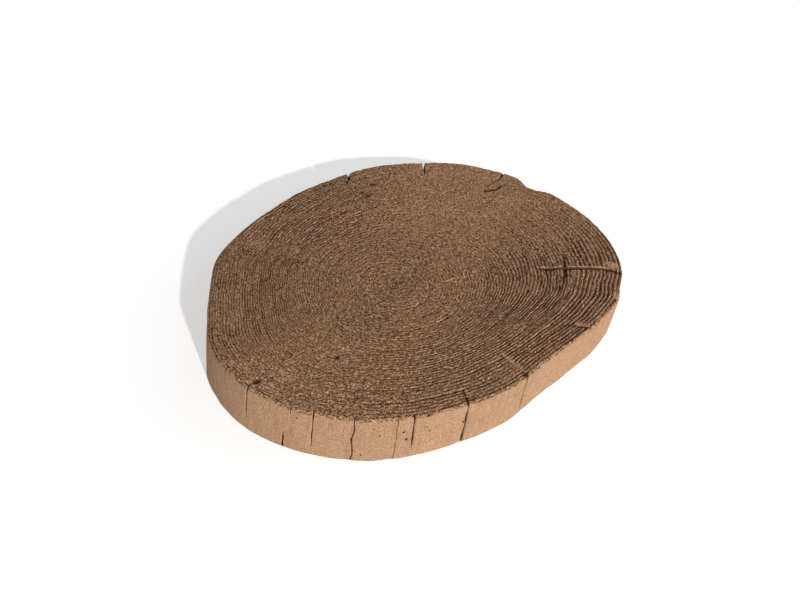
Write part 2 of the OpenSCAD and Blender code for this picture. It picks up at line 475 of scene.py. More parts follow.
@dataclass(frozen=True)
class Notch:
    """Opening that goes straight down through the rim, wide at the wall and pointed inside."""

    mouth: Point
    tip: Point
    width: float
    floor: float
    power: float = 1.0
    ragged: PlaneNoise = PlaneNoise(71, 3.0, 0.4, 2)
    widest: float = 1.6
    bank: Point = (0.75, 1.2)
    mouth_depth: float = 1.15
    floor_rise: float = 1.25
    tip_depth: float = 0.12
    least_inside: float = 0.02

    def floor_at(self, x: Array, y: Array, top: float) -> Array:
        """Greatest height that the surface may have at each place.

        Inside a wedge that narrows from the mouth to the tip it is the notch's floor, which
        rises towards the tip, and outside it is far above the slab.

        Args:
            x: Places along the stone.
            y: Places across the stone.
            top: Height of the top face.

        Returns:
            Height limit at each place, in millimetres.
        """
        run = np.array(self.tip) - np.array(self.mouth)
        length = np.linalg.norm(run)
        way = run / length
        away_x, away_y = x - self.mouth[0], y - self.mouth[1]
        share = (away_x * way[0] + away_y * way[1]) / length
        across = np.abs(away_y * way[0] - away_x * way[1])
        taper = np.clip(1.0 - share, 0.0, self.widest) ** self.power
        half = 0.5 * self.width * taper + self.ragged.over(x, y)
        inside = 1.0 - smooth_step(*self.bank, across / np.maximum(half, LEAST_HALF_WIDTH))
        inside = np.where(share < 1.0, inside, 0.0)
        fall = np.clip(self.mouth_depth - self.floor_rise * share, self.tip_depth, 1.0)
        deep = (top - self.floor) * fall
        return np.where(inside > self.least_inside, top - deep * inside, 10.0 * top)


@dataclass(frozen=True)
class SmoothPatch:
    """Place where the cast came out smooth and pale, as a bell over the top face. Along the
    cracks the pale bank is a painted highlight, standing for the lit far wall of the crack.
    """

    place: Point
    spread: Point
    turn: float
    depth: float
    share: float = 1.0
    ragged: PlaneNoise = PlaneNoise(91, 4.0, 0.16, 2)
    least_bell: float = 0.05
    bank: Point = (0.30, 0.72)

    def weight(self, x: Array, y: Array) -> Array:
        """How far the patch wins over the relief: a bell with a ragged edge.

        Args:
            x: Places along the stone.
            y: Places across the stone.

        Returns:
            Weight from 0 outside the patch to its share inside.
        """
        bell = hill(x, y, self.place, self.spread, self.turn)
        ragged = self.ragged.over(x, y) * (bell > self.least_bell)
        return self.share * smooth_step(*self.bank, bell + ragged)


@dataclass(frozen=True)
class Pit:
    """Hole in the top face, a little flattened."""

    place: Point
    spread: float
    depth: float
    flatness: float = 0.7

    def depth_at(self, x: Array, y: Array) -> Array:
        """Depth of the pit: a bell."""
        spread = (self.spread, self.spread * self.flatness)
        return self.depth * hill(x, y, self.place, spread)


@dataclass(frozen=True)
class Knot:
    """Place where the rings bend outwards, by the number of rings that they stray."""

    place: Point = (-119.0, 80.0)
    spread: Point = (13.0, 7.0)
    turn: float = 35.0
    rings: float = 1.2

    def stray(self, x: Array, y: Array) -> Array:
        """Number of rings that the rings stray at each place: a bell."""
        return self.rings * hill(x, y, self.place, self.spread, self.turn)


@dataclass(frozen=True)
class CloseSide:
    """Side of the log where the rings stand closer, up to a share of the way to the rim."""

    bearing: float
    half_width: float
    end: float
    side_blur: float = 8.0
    end_blur: float = 0.04

    def share(self, angle: Array, share: Array) -> Array:
        """1 inside the side and 0 outside it, with smooth borders.

        Args:
            angle: Bearing of each place from the pith, in radians.
            share: Ring coordinate of each place.

        Returns:
            Share of the closer rings at each place.
        """
        away = np.degrees(np.abs(turned(angle - np.radians(self.bearing))))
        width, blur = self.half_width, self.side_blur
        side = 1.0 - smooth_step(width - blur, width + blur, away)
        return side * (1.0 - smooth_step(self.end - self.end_blur, self.end + self.end_blur, share))


class Ground(Enum):
    """Kinds of grain that the log shows between its rings."""

    RIDGE = "ridge"
    GRAIN = "grain"
    CHUNK = "chunk"
    POCK = "pock"


@dataclass(frozen=True)
class Sector:
    """How deep the rings, grain, broken chunks and pocks are in one direction."""

    bearing: float
    ridge: float
    grain: float
    chunk: float
    pock: float = 0.0

    def depth(self, kind: Ground) -> float:
        """Depth of one kind of grain, in millimetres."""
        return getattr(self, kind.value)


@dataclass
class LogFace:
    """Relief of the top face: growth rings around the pith, wood grain, cracks and dents.

    Every fourth ring is a main ring, whose groove is deeper, as in the solid. On two sides of
    the log the rings stand closer, three for every two of the rest, so main rings fall
    together in both.
    """

    round_reach: float
    pith: Point = (-51.0, -23.0)
    main_rings: int = 12
    rings: int = 48
    close_pace: float = 1.5
    close_sides: tuple[CloseSide, ...] = (
        CloseSide(160.0, 38.0, 1.1),
        CloseSide(-20.0, 42.0, 0.78),
    )
    rim_shaped_from: float = 0.85
    bay_shaped_from: float = 0.7
    strays: tuple[PlaneNoise, ...] = (
        PlaneNoise(11, 46.0, 0.42),
        PlaneNoise(12, 15.0, 0.18),
        PlaneNoise(13, 5.0, 0.08),
    )
    knot: Knot = Knot()
    held_pith: float = 0.12
    held_rim: float = 0.94
    breaks: tuple[RingNoise, ...] = (RingNoise(21, 40, 0.8, 0.55), RingNoise(23, 150, 1.3, 0.30))
    break_range: Point = (0.1, 2.0)
    ring_variety: RingNoise = RingNoise(24, 9, 0.9, 0.7)
    main_depth: float = 1.0
    main_half: float = 0.55
    main_level: float = 0.6
    main_variety: RingNoise = RingNoise(26, 7, 0.3, 1.2)
    main_range: Point = (0.1, 1.2)
    main_least: float = 0.25
    main_by_ridge: float = 1.1
    level: float = -0.55
    swells: tuple[PlaneNoise, ...] = (PlaneNoise(51, 62.0, 0.45), PlaneNoise(52, 24.0, 0.30))
    grain_level: float = 0.50
    grain_crest: float = 0.2
    speckle: PlaneNoise = PlaneNoise(31, 2.6, 0.7)
    flake: RingNoise = RingNoise(22, 200, 1.6, 0.5)
    lumps: PlaneNoise = PlaneNoise(41, 7.0, 1.0, 2)
    sheets: RingNoise = RingNoise(42, 60, 0.7)
    chunk_edge: Point = (-0.15, 0.55)
    pocks: PlaneNoise = PlaneNoise(43, 4.5)
    pock_depth: float = 0.7
    pock_edge: Point = (0.30, 0.65)
    heart_edge: Point = (0.25, 0.62)
    open_depth: float = 1.8
    smooth_grain: float = 0.8
    sectors: tuple[Sector, ...] = (
        Sector(-170.0, 0.34, 0.58, 0.25),
        Sector(-150.0, 0.16, 0.70, 0.35),
        Sector(-125.0, 0.40, 0.68, 0.25),
        Sector(-100.0, 0.55, 0.70, 0.20),
        Sector(-78.0, 0.65, 0.70, 0.30),
        Sector(-60.0, 0.75, 0.75, 0.50),
        Sector(-42.0, 1.00, 0.65, 0.55),
        Sector(-18.0, 0.95, 0.60, 0.55),
        Sector(-6.0, 0.60, 0.60, 0.45, 0.6),
        Sector(10.0, 0.20, 0.60, 0.30, 1.0),
        Sector(35.0, 0.05, 0.58, 0.20, 1.0),
        Sector(55.0, 0.20, 0.75, 0.60, 0.8),
        Sector(75.0, 0.50, 0.70, 0.80, 0.6),
        Sector(95.0, 0.70, 0.65, 0.90, 0.4),
        Sector(118.0, 0.70, 0.55, 0.70),
        Sector(140.0, 0.66, 0.50, 0.25),
        Sector(160.0, 0.68, 0.45, 0.10),
        Sector(178.0, 0.62, 0.45, 0.10),
    )
    heart: Sector = Sector(0.0, 0.26, 0.80, 0.10, 0.3)
    furrows: tuple[Furrow, ...] = (
        Furrow(
            (
                (85.0, -71.0),
                (97.0, -78.0),
                (107.8, -82.8),
                (118.9, -88.9),
                (131.1, -95.6),
                (140.0, -102.2),
                (147.8, -108.9),
                (156.0, -121.0),
            ),
            (2.8, 3.8),
            (1.7, 3.2),
            0.6,
        ),
        Furrow(
            ((108.5, -82.0), (104.5, -85.6), (99.2, -90.0), (94.4, -92.8), (88.3, -96.7)),
            (2.6, 2.0),
            (3.2, 1.4),
            0.8,
        ),
        Furrow(((88.3, -96.7), (79.0, -101.0), (67.0, -106.5)), (1.6, 1.2), (1.2, 0.4), 1.0),
        Furrow(((107.8, -82.8), (120.0, -73.3), (130.0, -65.0)), (2.4, 1.4), (3.4, 0.8), 0.6),
        Furrow(((58.0, -147.0), (50.0, -139.5), (41.0, -132.0)), (1.6, 0.9), (2.4, 0.8), 0.5),
        Furrow(((196.0, 80.0), (173.0, 69.0), (147.0, 65.0)), (1.7, 1.0), (2.6, 0.8), 0.6),
        Furrow(((172.0, 60.0), (156.0, 55.0), (141.0, 58.0)), (3.0, 4.5), (0.6, 1.6), 0.8),
        Furrow(((158.0, 112.0), (147.0, 104.0)), (1.2, 0.8), (1.6, 0.5), 0.4),
        Furrow(((208.0, 12.0), (189.0, 10.0)), (1.3, 0.8), (1.8, 0.5), 0.4),
        Furrow(((-90.0, -160.0), (-86.0, -150.0), (-81.0, -140.0)), (1.6, 0.9), (2.8, 0.9), 0.5),
        Furrow(((-27.0, -161.0), (-29.0, -154.0), (-30.0, -146.0)), (1.6, 0.9), (2.8, 0.7), 0.5),
        Furrow(((22.0, 152.0), (17.0, 145.0), (10.0, 139.0)), (3.0, 1.6), (2.2, 0.7), 1.2),
    )
    notches: tuple[Notch, ...] = (
        Notch((120.6, 141.0), (101.7, 117.0), 2.6, 14.0, 0.6),
        Notch((24.0, 156.5), (20.5, 149.0), 4.0, 34.0, 0.7),
    )
    patches: tuple[SmoothPatch, ...] = (
        # Those along the cracks pale their bank as a painted highlight of the crack's lit far wall.
        SmoothPatch((90.0, -71.0), (5.0, 1.6), -20.0, 0.35, 0.7),
        SmoothPatch((104.0, -78.3), (6.0, 0.9), -24.0, 0.15, 0.9),
        SmoothPatch((115.0, -84.3), (7.0, 1.3), -28.0, 0.05, 0.9),
        SmoothPatch((128.0, -91.6), (8.0, 1.0), -31.0, 0.15, 0.9),
        SmoothPatch((142.0, -100.0), (7.0, 2.0), -34.0, 0.10),
        SmoothPatch((156.0, -104.0), (6.0, 5.5), -38.0, 0.30, 0.9),
        SmoothPatch((-28.0, -141.0), (1.9, 11.0), 0.0, 1.30, 0.8),
        SmoothPatch((119.0, -134.0), (6.0, 2.4), 32.0, 0.70, 0.7),
        SmoothPatch((78.0, -146.0), (3.5, 2.6), 0.0, 0.70, 0.6),
        SmoothPatch((57.0, -143.0), (1.9, 6.0), 42.0, 1.00, 0.8),
    )
    pits: tuple[Pit, ...] = (
        Pit((-140.0, -67.0), 1.5, 1.3),
        Pit((15.0, 107.0), 1.9, 2.0),
        Pit((14.0, 116.0), 1.6, 2.0),
        Pit((34.0, 125.0), 1.9, 2.0),
        Pit((-199.0, -57.5), 1.7, 1.7),
        Pit((-29.0, -154.5), 1.5, 2.2),
    )

    def _mix(self, kind: Ground, angle: Array, share: Array) -> Array:
        """Strength of one kind of grain, from the sectors outside and the heart inside.

        Args:
            kind: Kind of grain.
            angle: Bearing of each place from the pith, in radians.
            share: Ring coordinate of each place.

        Returns:
            Depth of that grain at each place.
        """
        bearings = np.radians([sector.bearing for sector in self.sectors])
        values = np.array([sector.depth(kind) for sector in self.sectors])
        outer = np.interp(angle, bearings, values, period=FULL_TURN)
        inner = self.heart.depth(kind)
        return inner + (outer - inner) * smooth_step(*self.heart_edge, share)

    def ring_point(self, share: Array, rim: Array, plain_rim: Array) -> Array:
        """Where rings cross the lines to rim points.

        The distance from the pith is the share of the way times the rim's distance to a power
        and the mean distance to the rest of that power, so that rings are round about the pith
        and have the rim's own shape near it. They bend with a bay only in their outer third.

        Args:
            share: Ring coordinate of each point, 0 at the pith and 1 at the rim.
            rim: Rim point of each line.
            plain_rim: The same points on the rim without its bays.

        Returns:
            Points in millimetres, one row each.
        """
        bend = np.clip((share - self.bay_shaped_from) / (1.0 - self.bay_shaped_from), 0.0, 1.0)
        run = plain_rim + bend[:, np.newaxis] * (rim - plain_rim) - np.array(self.pith)
        full = np.linalg.norm(run, axis=1)
        likeness = smooth_step(0.0, self.rim_shaped_from, share)
        reach = share * full**likeness * self.round_reach ** (1.0 - likeness)
        return np.array(self.pith) + run * (reach / full)[:, np.newaxis]

    def waver(self, points: Array, share: Array) -> Array:
        """How far the rings stray: slow and fast noise together, held at the pith and the rim.

        Args:
            points: Places of the points, one row each.
            share: Ring coordinate of each point.

        Returns:
            Change of the ring coordinate at each point.
        """
        x, y = points[:, 0], points[:, 1]
        stray = sum(noise.over(x, y) for noise in self.strays) + self.knot.stray(x, y)
        rim_hold = 1.0 - smooth_step(self.held_rim, 1.0, share)
        held = smooth_step(0.0, self.held_pith, share) * rim_hold
        return stray * held / self.rings

    def _ring_depth(self, count: Array, turns: Array, close: Array, ridge: Array) -> Array:
        """Depth of the rings: a cosine wave for each ring, with deeper main grooves.

        Args:
            count: Number of rings from the pith.
            turns: Turns around the pith.
            close: Share of the closer set of rings.
            ridge: Strength of the rings.

        Returns:
            Depth below the crests, in millimetres.
        """
        wave = 0.5 + 0.5 * np.cos(FULL_TURN * count)
        close_wave = 0.5 + 0.5 * np.cos(FULL_TURN * count * self.close_pace)
        groove = wave + close * (close_wave - wave)
        variety = 1.0 + self.ring_variety.along(count, turns)
        per_main = self.rings / self.main_rings
        off_main = np.abs(count / per_main - np.rint(count / per_main)) * per_main
        inside = count < self.rings - 0.5 * per_main
        main = (1.0 - smooth_step(0.0, self.main_half, off_main)) * inside
        main *= np.clip(self.main_level + self.main_variety.along(count, turns), *self.main_range)
        main_share = np.clip(self.main_least + self.main_by_ridge * ridge, 0.0, 1.0)
        return ridge * groove * variety + main * (self.main_depth * main_share)

    def _openings(self, x: Array, y: Array) -> Array:
        """Depth of cracks and pits together: the deepest of them at each place."""
        depths = [opening.depth_at(x, y) for opening in (*self.furrows, *self.pits)]
        return np.maximum(np.max(depths, axis=0), 0.0)

    def hollow(self, x: Array, y: Array, share: Array) -> dict[str, Array]:
        """Depth of the relief below the top face, and the fields that the finish reads.

        The depth is the sum of slow swells, rings, grain, broken chunks and pocks. Smooth
        patches pull it to their own depth, and cracks and pits lie deeper still.

        Args:
            x: Places along the stone.
            y: Places across the stone.
            share: Ring coordinate of each place.

        Returns:
            "depth" in millimetres, "ring" as the ring count, "close" as the share of close
            rings, "ridge", "grain" and "pock" as strengths, "smooth" and "crack" as shares.
        """
        angle = np.arctan2(y - self.pith[1], x - self.pith[0])
        turns = angle / FULL_TURN
        count = self.rings * share
        close = np.max([side.share(angle, share) for side in self.close_sides], axis=0)
        ridge, grain, chunk, pock = (self._mix(kind, angle, share) for kind in Ground)
        broken = sum(noise.along(count, turns) for noise in self.breaks)
        ridge = ridge * np.clip(1.0 + broken, *self.break_range)

        depth = self.level + sum(noise.over(x, y) for noise in self.swells)
        depth += self._ring_depth(count, turns, close, ridge)
        grit = self.grain_level + self.speckle.over(x, y) + self.flake.along(count, turns)
        depth += np.maximum(grain * grit, -self.grain_crest)
        lumps = self.lumps.over(x, y) + self.sheets.along(count, turns)
        depth += chunk * smooth_step(*self.chunk_edge, lumps)
        depth += self.pock_depth * pock * smooth_step(*self.pock_edge, self.pocks.over(x, y))

        smooth = np.zeros_like(x)
        for patch in self.patches:
            weight = patch.weight(x, y)
            depth = depth + weight * (self.level + patch.depth - depth)
            smooth = np.maximum(smooth, weight)
        openings = self._openings(x, y)
        rough = 1.0 - smooth
        return {
            "depth": depth + openings,
            "ring": count,
            "close": close,
            "ridge": ridge * rough,
            "grain": grain * (1.0 - self.smooth_grain * smooth),
            "pock": pock * rough,
            "smooth": smooth,
            "crack": np.clip(openings / self.open_depth, 0.0, 1.0),
        }


@dataclass
class CastWall:
    """Surface of the cast wall: slow dents, faint upright ribs and drying cracks."""

    dent_layers: tuple[WallNoise, ...] = (
        WallNoise(61, 26.0, 55.0, 0.50),
        WallNoise(62, 9.0, 60.0, 0.14),
        WallNoise(63, 4.4, 18.0, 0.06),
    )
    cracks: tuple[WallCrack, ...] = (
        WallCrack(189.5, 0.6, 0.0, 0.30, 3.0),
        WallCrack(196.0, 0.8, 0.0, 0.68, 4.0, 0.9, 4),
        WallCrack(204.0, 1.2, 0.70, 1.0, 3.5, 0.6, 6),
        WallCrack(205.2, 0.5, 0.0, 0.25, 2.0),
        WallCrack(209.5, 0.5, 0.0, 0.85, 3.2, 0.6, 8),
        WallCrack(217.0, 0.5, 0.0, 1.0, 3.4, 1.4, 10),
        WallCrack(225.2, 0.4, 0.0, 1.0, 2.2, 0.6, 12),
        WallCrack(228.6, 1.1, 0.0, 0.80, 5.0, 0.7, 14),
        WallCrack(241.0, 1.2, 0.0, 1.0, 5.0, 0.8, 16),
        WallCrack(260.0, 1.4, 0.0, 0.95, 4.5, 0.8, 18),
        WallCrack(294.0, 0.5, 0.0, 0.6, 1.5, 0.8, 20),
        WallCrack(300.0, 0.5, 0.1, 0.7, 1.0, 0.8, 22),
    )

    def cut(self, arc: Array, crack_arcs: Array, girth: float, below: Array) -> Array:
        """Depth of the cracks at a distance along the outline and a share below the top.

        Args:
            arc: Distance along the outline.
            crack_arcs: The same distance for each crack's bearing.
            girth: Length of the whole outline.
            below: Share of the thickness below the top face.

        Returns:
            Depth into the wall, in millimetres.
        """
        depth = np.zeros_like(arc)
        for crack, place in zip(self.cracks, crack_arcs):
            offset = (arc - place + 0.5 * girth) % girth - 0.5 * girth
            depth = np.maximum(depth, crack.cut(offset, below))
        return depth

    def dents(self, arc: Array, girth: float, level: Array) -> Array:
        """Dents and ribs: the sum of noises that close around the stone, slow in height."""
        return sum(noise.at(arc, girth, level) for noise in self.dent_layers)


@dataclass(frozen=True)
class Tint:
    """Colour that is written as six sRGB hex digits."""

    digits: str

    def linear(self) -> tuple[float, float, float, float]:
        """Linear red, green, blue and full alpha.

        Returns:
            Each part by the sRGB curve: a straight start, then a power.
        """
        parts = np.array([int(self.digits[i : i + 2], 16) for i in (0, 2, 4)]) / 255.0
        straight = np.where(parts <= 0.04045, parts / 12.92, ((parts + 0.055) / 1.055) ** 2.4)
        return (float(straight[0]), float(straight[1]), float(straight[2]), 1.0)


class NodeBench:
    """Lays out the nodes of one material or of the surround."""

    def __init__(self, owner: bpy.types.Material | bpy.types.World) -> None:
        """Empty the owner's node tree."""
        owner.use_nodes = True
        self.tree = owner.node_tree
        self.tree.nodes.clear()

    def add(
        self,
        kind: str,
        inputs: dict[str | int, object] | tuple[object, ...] = (),
        out: str | int = 0,
        **settings: object,
    ) -> Socket | None:
        """Add a node with its settings, constants and links.

        Args:
            kind: Type name of the node, without its "ShaderNode" start.
            inputs: Constants or source sockets, in order or by input name or number.
            out: Name or number of the output that is wanted.
            **settings: Properties of the node.

        Returns:
            The output's socket, or None where the node has no outputs.
        """
        node = self.tree.nodes.new("ShaderNode" + kind)
        for name, value in settings.items():
            setattr(node, name, value)
        named = inputs if isinstance(inputs, dict) else dict(enumerate(inputs))
        for name, value in named.items():
            if isinstance(value, Socket):
                self.tree.links.new(value, node.inputs[name])
            else:
                node.inputs[name].default_value = value
        return node.outputs[out] if node.outputs else None


@dataclass(frozen=True)
class Pattern:
    """Noise pattern of a finish, by the size of its spots in millimetres."""

    size: float
    detail: float = 1.0
    roughness: float = 0.5
    span: Point = (0.0, 1.0)

    def plain(self, bench: NodeBench, vector: Socket) -> Socket:
        """Noise of the pattern as it is.

        Args:
            bench: Bench of the material.
            vector: Places in metres.

        Returns:
            Noise between 0 and 1.
        """
        return bench.add("TexNoise", {"Vector": vector, "Scale": 1.0 / (self.size * MM),
                                      "Detail": self.detail, "Roughness": self.roughness})

    def crisp(self, bench: NodeBench, vector: Socket) -> Socket:
        """Noise of the pattern, stretched so that its span fills 0 to 1."""
        noise = self.plain(bench, vector)
        return bench.add("MapRange", (noise, *self.span), interpolation_type="SMOOTHSTEP")


@dataclass(frozen=True)
class CastConcrete:
    """Pigmented fine concrete, cast in a mould: the wall smooth and pale, the top rough.

    Cement paste is matt, so light spreads evenly over it. The rough top is darker because shade
    is painted into its colour: in the ring grooves, the grain's pockets, the hollows and the pits,
    with painted highlights and shade on its sand grains, and painted shade in cracks and pores.
    The real sand is about half a millimetre, too fine to show in the render, so sand, lumps,
    strokes along the rings and pits are drawn one to three millimetres wide, as coarse as they
    need to show. Air pores are up to two millimetres wide, and the tone varies over one to five
    centimetres.
    """

    wall_tint: Tint = Tint("B78E6C")
    wall_pale_tint: Tint = Tint("BF9876")
    crest_tint: Tint = Tint("D1A179")
    # Colour of the painted shade in the top's grooves, pockets, hollows and pits.
    painted_shade_tint: Tint = Tint("4A2B16")
    # Colour of the painted shade inside pores and cracks.
    void_shade_tint: Tint = Tint("3A2416")
    roughness: float = 0.88
    ior: float = 1.45
    specular: float = 0.35
    cloud: Pattern = Pattern(46.0, 3.0)
    mottle: Pattern = Pattern(9.0, 4.0, 0.6)
    lump: Pattern = Pattern(1.25, span=(0.38, 0.62))
    sand: Pattern = Pattern(1.1, span=(0.36, 0.64))
    pit: Pattern = Pattern(2.2, span=(0.60, 0.69))
    streak: Pattern = Pattern(2.6, 3.0, 0.6)
    streak_rise: float = 0.10
    streak_span: Point = (0.30, 0.75)
    stroke_length: float = 2.8
    stroke_span: Point = (0.36, 0.64)
    strokes_per_ring: float = 3.9
    rim_wobble: float = 0.8
    rim_span: Point = (0.38, 0.62)
    stroke_sway: float = 0.12
    lump_sway: float = 0.14
    stroke_beads: float = 0.4
    lump_share: float = 0.45
    groove_power: float = 3.0
    pocket_power: float = 2.0
    ring_bump: float = 1.0
    grain_bump: float = 1.3
    sand_bump: float = 0.36
    pit_bump: float = 0.8
    wall_bump: float = 0.16
    pore_bump: float = 1.2
    # Strengths of the painted shade in ring grooves, grain pockets, hollows and pits.
    ring_shade: float = 0.96
    grain_shade: float = 1.20
    hollow_shade: float = 0.18
    pit_shade: float = 0.8
    cloud_shade: float = 0.24
    mottle_shade: float = 0.14
    # Grit: sand speckle on the wall; on the top, painted highlights and shade of the grains and
    # strokes, blue varying most.
    wall_grit: float = 0.36
    top_grain_light_and_shade: float = 1.24
    top_strokes: float = 0.22
    grit_shares: Triple = (0.85, 1.0, 1.25)
    pore_gap: float = 5.5
    pore_reach: float = 0.075
    pore_span: Point = (0.55, 1.0)
    pore_edge: Point = (0.8, 1.25)
    # Painted shade in pores and cracks: how much of it, and the crack depths over which it sets in.
    pore_shade_cover: float = 0.95
    crack_span: Point = (0.05, 0.45)
    crack_shade_cover: float = 0.85

    def _strokes(self, bench: NodeBench, place: Socket, ring: Socket) -> Socket:
        """Short strokes along the rings: noise that is slow in the plane and fast by ring.

        Args:
            bench: Bench of the material.
            place: Places in metres.
            ring: Ring count.

        Returns:
            Strokes, from 0 to 1.
        """
        scale = 1.0 / (self.stroke_length * MM)
        level = bench.add("VectorMath", (place, (scale, scale, 0.0)), operation="MULTIPLY")
        across = bench.add("Math", (ring, self.strokes_per_ring), operation="MULTIPLY")
        across = bench.add("CombineXYZ", {"Z": across})
        along = bench.add("VectorMath", (level, across), operation="ADD")
        fibre = bench.add("TexNoise", {"Vector": along, "Scale": 1.0, "Detail": 2.0})
        return bench.add("MapRange", (fibre, *self.stroke_span), interpolation_type="SMOOTHSTEP")

    def _ring_crests(self, bench: NodeBench, fields: dict[str, Socket], stroke: Socket,
                     lump: Socket, close_pace: float) -> Socket:
        """Crests of the rings: half a cosine wave for each ring, beaded by the strokes.

        Args:
            bench: Bench of the material.
            fields: Attributes of the mesh by name.
            stroke: Strokes along the rings.
            lump: Lumps of the grain.
            close_pace: How many close rings there are to each ring of the rest.

        Returns:
            Height of the crests, from 0 to 1.
        """
        phase = fields["ring"]
        for sway, size in ((stroke, self.stroke_sway), (lump, self.lump_sway)):
            sway = bench.add("Math", (sway, size, -0.5 * size), operation="MULTIPLY_ADD")
            phase = bench.add("Math", (phase, sway), operation="ADD")
        waves = []
        for pace in (1.0, close_pace):
            turn = bench.add("Math", (phase, FULL_TURN * pace), operation="MULTIPLY")
            waves.append(bench.add("Math", (turn,), operation="COSINE"))
        wave = bench.add("Mix", {0: fields["close"], 2: waves[0], 3: waves[1]})
        crest = bench.add("Math", (wave, -0.5, 0.5), operation="MULTIPLY_ADD")
        beads = self.stroke_beads
        beads = bench.add("Math", (stroke, beads, 1.0 - beads), operation="MULTIPLY_ADD")
        return bench.add("Math", (crest, beads), operation="MULTIPLY")

    def _shade(self, bench: NodeBench, height: Socket, power: float, strength: Socket,
               share: float) -> Socket:
        """Painted shade for a hollow: one less its height, to a power, times its strength.

        Args:
            bench: Bench of the material.
            height: Height from 0 to 1.
            power: How much the shade keeps to the deepest places.
            strength: Strength of that relief.
            share: Share of the shade at full strength.

        Returns:
            Shade of the hollow.
        """
        depth = bench.add("Math", (1.0, height), operation="SUBTRACT")
        depth = bench.add("Math", (depth, power), operation="POWER")
        strength = bench.add("Math", (strength, share), operation="MULTIPLY")
        return bench.add("Math", (depth, strength), operation="MULTIPLY")

    def _top(self, bench: NodeBench, place: Socket, fields: dict[str, Socket], stroke: Socket,
             sand: Socket, close_pace: float) -> tuple[Socket, Socket]:
        """Colour and height of the rough top: rings, grain, sand and pits together. The colour
        holds painted shade in the ring grooves, the grain's pockets, the hollows and the pits.

        Args:
            bench: Bench of the material.
            place: Places in metres.
            fields: Attributes of the mesh by name.
            stroke: Strokes along the rings.
            sand: Sand grains.
            close_pace: How many close rings there are to each ring of the rest.

        Returns:
            Colour, and height in millimetres.
        """
        ridge, grain = fields["ridge"], fields["grain"]
        lump = self.lump.crisp(bench, place)
        crest = self._ring_crests(bench, fields, stroke, lump, close_pace)
        ringed = bench.add("Math", (crest, ridge), operation="MULTIPLY")
        ringed = bench.add("Math", (ringed, self.ring_bump), operation="MULTIPLY")
        mixed = bench.add("Mix", {0: self.lump_share, 2: stroke, 3: lump})
        coarse = bench.add("Math", (mixed, grain), operation="MULTIPLY")
        coarse = bench.add("Math", (coarse, self.grain_bump), operation="MULTIPLY")
        pitted = self.pit.crisp(bench, place)
        pitted = bench.add("Math", (pitted, fields["pock"]), operation="MULTIPLY")
        height = bench.add("Math", (ringed, coarse), operation="ADD")
        height = bench.add("Math", (sand, self.sand_bump, height), operation="MULTIPLY_ADD")
        height = bench.add("Math", (pitted, -self.pit_bump, height), operation="MULTIPLY_ADD")

        # Painted shade: the colour darkens towards the shade tint in ring grooves, grain pockets,
        # deep hollows and pits.
        groove = self._shade(bench, crest, self.groove_power, ridge, self.ring_shade)
        pocket_shade = self._shade(bench, mixed, self.pocket_power, grain, self.grain_shade)
        painted_shade = bench.add("Math", (groove, pocket_shade), operation="ADD")
        for part, share in ((fields["hollow"], self.hollow_shade), (pitted, self.pit_shade)):
            painted_shade = bench.add("Math", (part, share, painted_shade), operation="MULTIPLY_ADD")
        painted_shade = bench.add("Clamp", (painted_shade,))
        colour = bench.add(
            "Mix", {0: painted_shade, 6: self.crest_tint.linear(), 7: self.painted_shade_tint.linear()}, out=2,
            data_type="RGBA",
        )
        return colour, height

    def _pores(self, bench: NodeBench, place: Socket, pores: tuple[tuple[Triple, float], ...],
               edge: Socket) -> Socket:
        """Air pores in the smooth wall: small ones scattered, large ones at their places.

        Args:
            bench: Bench of the material.
            place: Places in metres.
            pores: Place and radius of each large pore, in millimetres.
            edge: 1 on the rough top and 0 on the smooth wall.

        Returns:
            1 inside a pore and 0 outside.
        """
        scatter = {"Vector": place, "Scale": 1.0 / (self.pore_gap * MM)}
        spots = bench.add("TexVoronoi", scatter, out="Distance")
        rare = bench.add("SeparateColor", (spots.node.outputs["Color"],))
        size = bench.add("MapRange", (rare, *self.pore_span), interpolation_type="SMOOTHSTEP")
        size = bench.add("Math", (size, self.pore_reach), operation="MULTIPLY")
        hole = bench.add("Math", (spots, size), operation="LESS_THAN")
        for spot, radius in pores:
            middle = tuple(part * MM for part in spot)
            gap = bench.add("VectorMath", (place, middle), out="Value", operation="DISTANCE")
            inner, outer = (share * radius * MM for share in self.pore_edge)
            found = bench.add("MapRange", (gap, inner, outer, 1.0, 0.0),
                              interpolation_type="SMOOTHSTEP")
            hole = bench.add("Math", (hole, found), operation="MAXIMUM")
        smooth = bench.add("Math", (1.0, edge), operation="SUBTRACT")
        return bench.add("Math", (hole, smooth), operation="MULTIPLY")

    def _tone(self, bench: NodeBench, place: Socket, mottle: Socket, edge: Socket, sand: Socket,
              stroke: Socket) -> Socket:
        """Change of tone: clouds, mottling, and grit whose blue part varies most. On the wall the
        grit is sand speckle; on the top it is painted highlights and shade of the sand grains and
        strokes.

        Args:
            bench: Bench of the material.
            place: Places in metres.
            mottle: Mottling, from 0 to 1.
            edge: 1 on the rough top and 0 on the smooth wall.
            sand: Sand grains.
            stroke: Strokes along the rings.

        Returns:
            Colour near white that the concrete's colour is multiplied by.
        """
        shade = 1.0
        for part, depth in ((self.cloud.plain(bench, place), self.cloud_shade),
                            (mottle, self.mottle_shade)):
            part = bench.add("Math", (part, depth, 1.0 - 0.5 * depth), operation="MULTIPLY_ADD")
            shade = bench.add("Math", (shade, part), operation="MULTIPLY")
